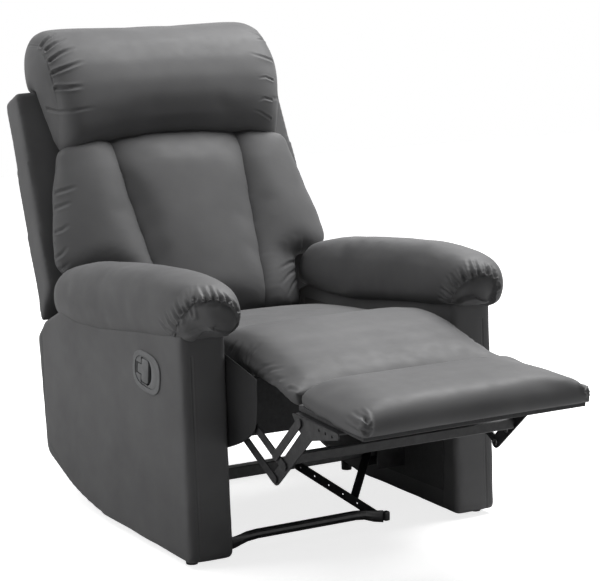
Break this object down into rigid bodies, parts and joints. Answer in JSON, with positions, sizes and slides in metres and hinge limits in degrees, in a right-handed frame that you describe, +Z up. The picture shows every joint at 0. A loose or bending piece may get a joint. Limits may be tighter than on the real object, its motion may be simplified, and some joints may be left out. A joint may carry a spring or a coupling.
{
  "type": "recliner armchair",
  "caption": "Padded leather recliner armchair with a pull latch in one arm, a footrest on a folding steel linkage and a leaning back with a thick headrest pillow.",
  "frame": {"origin": "on the floor, under the middle of the whole chair's box, with the footrest out and the back as pictured", "axes": "+Z up; the sitter faces -Y; +X is to the viewer's right when seen from the front"},
  "size_m": [0.776, 1.4364, 1.0346],
  "materials": {
    "grey_leather": "satin, fine grain",
    "padded_leatherette": "satin coated fabric with fine grain, over fibre filling",
    "black_lining": "matt non-woven cloth",
    "black_steel": "satin black coating",
    "spring_steel": "plain drawn wire",
    "pine_board": "raw",
    "black_plastic": "moulded, matt",
    "grey_plastic": "moulded, satin",
    "elastic_webbing": "woven"
  },
  "bodies": {
    "base": {"left_arm_cover": "grey_leather", "right_arm_cover": "grey_leather", "left_arm_frame": "pine_board", "right_arm_frame": "pine_board", "left_arm_lining": "black_lining", "right_arm_lining": "black_lining", "left_arm_pillow": "padded_leatherette", "right_arm_pillow": "padded_leatherette", "left_front_glide": "black_plastic", "right_front_glide": "black_plastic", "left_rear_glide": "black_plastic", "right_rear_glide": "black_plastic", "latch_housing": "grey_plastic", "latch_cable": "black_plastic", "left_side_plate": "black_steel", "right_side_plate": "black_steel", "seat_frame": "pine_board", "seat_spring_1": "spring_steel", "seat_spring_2": "spring_steel", "seat_spring_3": "spring_steel", "seat_spring_4": "spring_steel", "seat_cushion": "padded_leatherette", "calf_pad": "padded_leatherette", "seat_apron": "black_lining", "left_base_bracket": "black_steel", "right_base_bracket": "black_steel", "base_cross_tube": "black_steel", "rear_cross_tube": "black_steel", "foot_bar": "black_steel", "support_strut": "black_steel", "support_brace": "black_steel", "foot_cap": "black_plastic", "rear_skirt": "grey_leather"},
    "footrest": {"foot_board": "pine_board", "foot_pad": "padded_leatherette", "left_ottoman_bracket": "black_steel", "right_ottoman_bracket": "black_steel"},
    "drive_links": {"left_drive_link": "black_steel", "right_drive_link": "black_steel"},
    "guide_links": {"left_guide_link": "black_steel", "right_guide_link": "black_steel"},
    "lift_links": {"left_lift_link": "black_steel", "right_lift_link": "black_steel", "lift_cross_tube": "black_steel"},
    "front_links": {"left_front_link": "black_steel", "right_front_link": "black_steel"},
    "back": {"back_cover": "grey_leather", "back_frame": "pine_board", "back_centre_panel": "padded_leatherette", "left_back_wing": "padded_leatherette", "right_back_wing": "padded_leatherette", "headrest_pillow": "padded_leatherette", "left_back_bracket": "black_steel", "right_back_bracket": "black_steel", "lower_back_strap": "elastic_webbing", "upper_back_strap": "elastic_webbing"},
    "latch": {"latch_lever": "black_plastic"}
  },
  "joints": [
    {"name": "footrest_fold", "type": "hinge", "parent": "base", "child": "footrest", "pos_m": [0, -0.3155, 0.435], "axis": [1, 0, 0], "range_deg": [0, 88], "deforming": ["calf_pad"]},
    {"name": "drive_link_swing", "type": "hinge", "parent": "base", "child": "drive_links", "pos_m": [0, -0.22481, 0.35043], "axis": [1, 0, 0], "range_deg": [0, 88]},
    {"name": "guide_link_swing", "type": "hinge", "parent": "base", "child": "guide_links", "pos_m": [0, -0.18824, 0.31633], "axis": [1, 0, 0], "range_deg": [0, 88]},
    {"name": "lift_link_swing", "type": "hinge", "parent": "drive_links", "child": "lift_links", "pos_m": [0, -0.43781, 0.24143], "axis": [1, 0, 0], "range_deg": [-88, 0]},
    {"name": "front_link_swing", "type": "hinge", "parent": "drive_links", "child": "front_links", "pos_m": [0, -0.41111, 0.2551], "axis": [1, 0, 0], "range_deg": [-88, 0]},
    {"name": "back_recline", "type": "hinge", "parent": "base", "child": "back", "pos_m": [0, 0.3295, 0.33], "axis": [-1, 0, 0], "range_deg": [-5, 25]},
    {"name": "latch_pull", "type": "hinge", "parent": "base", "child": "latch", "pos_m": [-0.3685, -0.03474, 0.37849], "axis": [0, 0.1045, -0.9945], "range_deg": [0, 25], "stiffness_Nm_per_rad": 0.05}
  ],
  "couplings": [
    {"joint": "drive_link_swing", "follows": "footrest_fold", "ratio": 1},
    {"joint": "guide_link_swing", "follows": "footrest_fold", "ratio": 1},
    {"joint": "lift_link_swing", "follows": "footrest_fold", "ratio": -1},
    {"joint": "front_link_swing", "follows": "footrest_fold", "ratio": -1}
  ]
}
